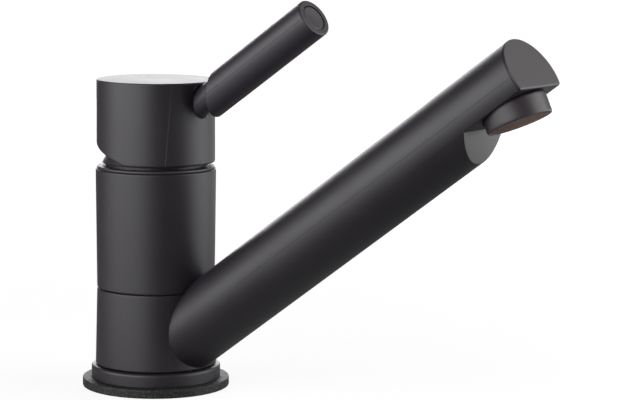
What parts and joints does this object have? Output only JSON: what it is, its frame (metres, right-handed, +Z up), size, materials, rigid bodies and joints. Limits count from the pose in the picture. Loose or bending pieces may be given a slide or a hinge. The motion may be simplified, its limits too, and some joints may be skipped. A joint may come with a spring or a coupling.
{
  "type": "single-lever mixer tap",
  "caption": "Deck-mounted single-lever mixer tap with a straight rising tube spout that swivels, a rod lever on a drum cap, and a ceramic cartridge.",
  "frame": {"origin": "on the tap's upright axis, in the plane of the worktop's upper face under the gasket", "axes": "+X towards the spout and lever, +Z up along the upright axis, XZ the plane of symmetry"},
  "size_m": [0.2034, 0.0576, 0.1983],
  "materials": {
    "matte_black": "matte black coating",
    "black_plastic": "fine matte, moulded",
    "foam": "grainy closed-cell foam",
    "seal_rubber": "smooth",
    "red_seal": "smooth",
    "brass": "turned",
    "steel": "plain",
    "white_plastic": "moulded",
    "grey_plastic": "moulded",
    "ceramic": "lapped",
    "gauze": "woven, brownish"
  },
  "bodies": {
    "base": {"deck_gasket": "foam", "base_ring": "matte_black", "core_body": "brass", "body_shell": "matte_black", "trim_ring": "black_plastic", "dome_cover": "matte_black", "cartridge_nut": "brass", "cartridge_housing": "white_plastic", "cartridge_base": "white_plastic", "port_seals": "red_seal", "fixed_disc": "ceramic", "spout_o_rings": "seal_rubber", "glide_rings": "white_plastic", "rubber_washer": "seal_rubber", "steel_washer": "steel", "back_nut": "brass"},
    "spout": {"spout": "matte_black", "spout_end_cap": "black_plastic", "outlet_block": "grey_plastic", "water_pipe": "white_plastic", "pipe_o_rings": "seal_rubber", "aerator_housing": "black_plastic", "flow_straightener": "white_plastic", "aerator_gauze": "gauze", "aerator_washer": "seal_rubber"},
    "rotor": {"cartridge_rotor": "grey_plastic", "pivot_pin": "steel"},
    "disc": {"moving_disc": "ceramic", "disc_driver": "white_plastic"},
    "lever": {"cartridge_stem": "steel", "lever_cap": "matte_black", "lever_rod": "matte_black", "lever_end_plug": "black_plastic", "lever_set_screw": "steel", "cap_set_screw": "steel", "cap_screw_plug": "black_plastic"}
  },
  "joints": [
    {"name": "spout_swivel", "type": "hinge", "parent": "base", "child": "spout", "pos_m": [0, 0, 0.0105], "axis": [0, 0, 1], "continuous": true},
    {"name": "lever_turn", "type": "hinge", "parent": "base", "child": "rotor", "pos_m": [0, 0, 0.0781], "axis": [0, 0, 1], "range_deg": [-45, 45]},
    {"name": "lever_lift", "type": "hinge", "parent": "rotor", "child": "lever", "pos_m": [0, 0, 0.0781], "axis": [0, -1, 0], "range_deg": [0, 20]},
    {"name": "disc_slide", "type": "slide", "parent": "rotor", "child": "disc", "axis": [1, 0, 0], "range_m": [0, 0.0036]}
  ],
  "couplings": [
    {"joint": "disc_slide", "follows": "lever_lift", "m_per_rad": 0.01}
  ]
}
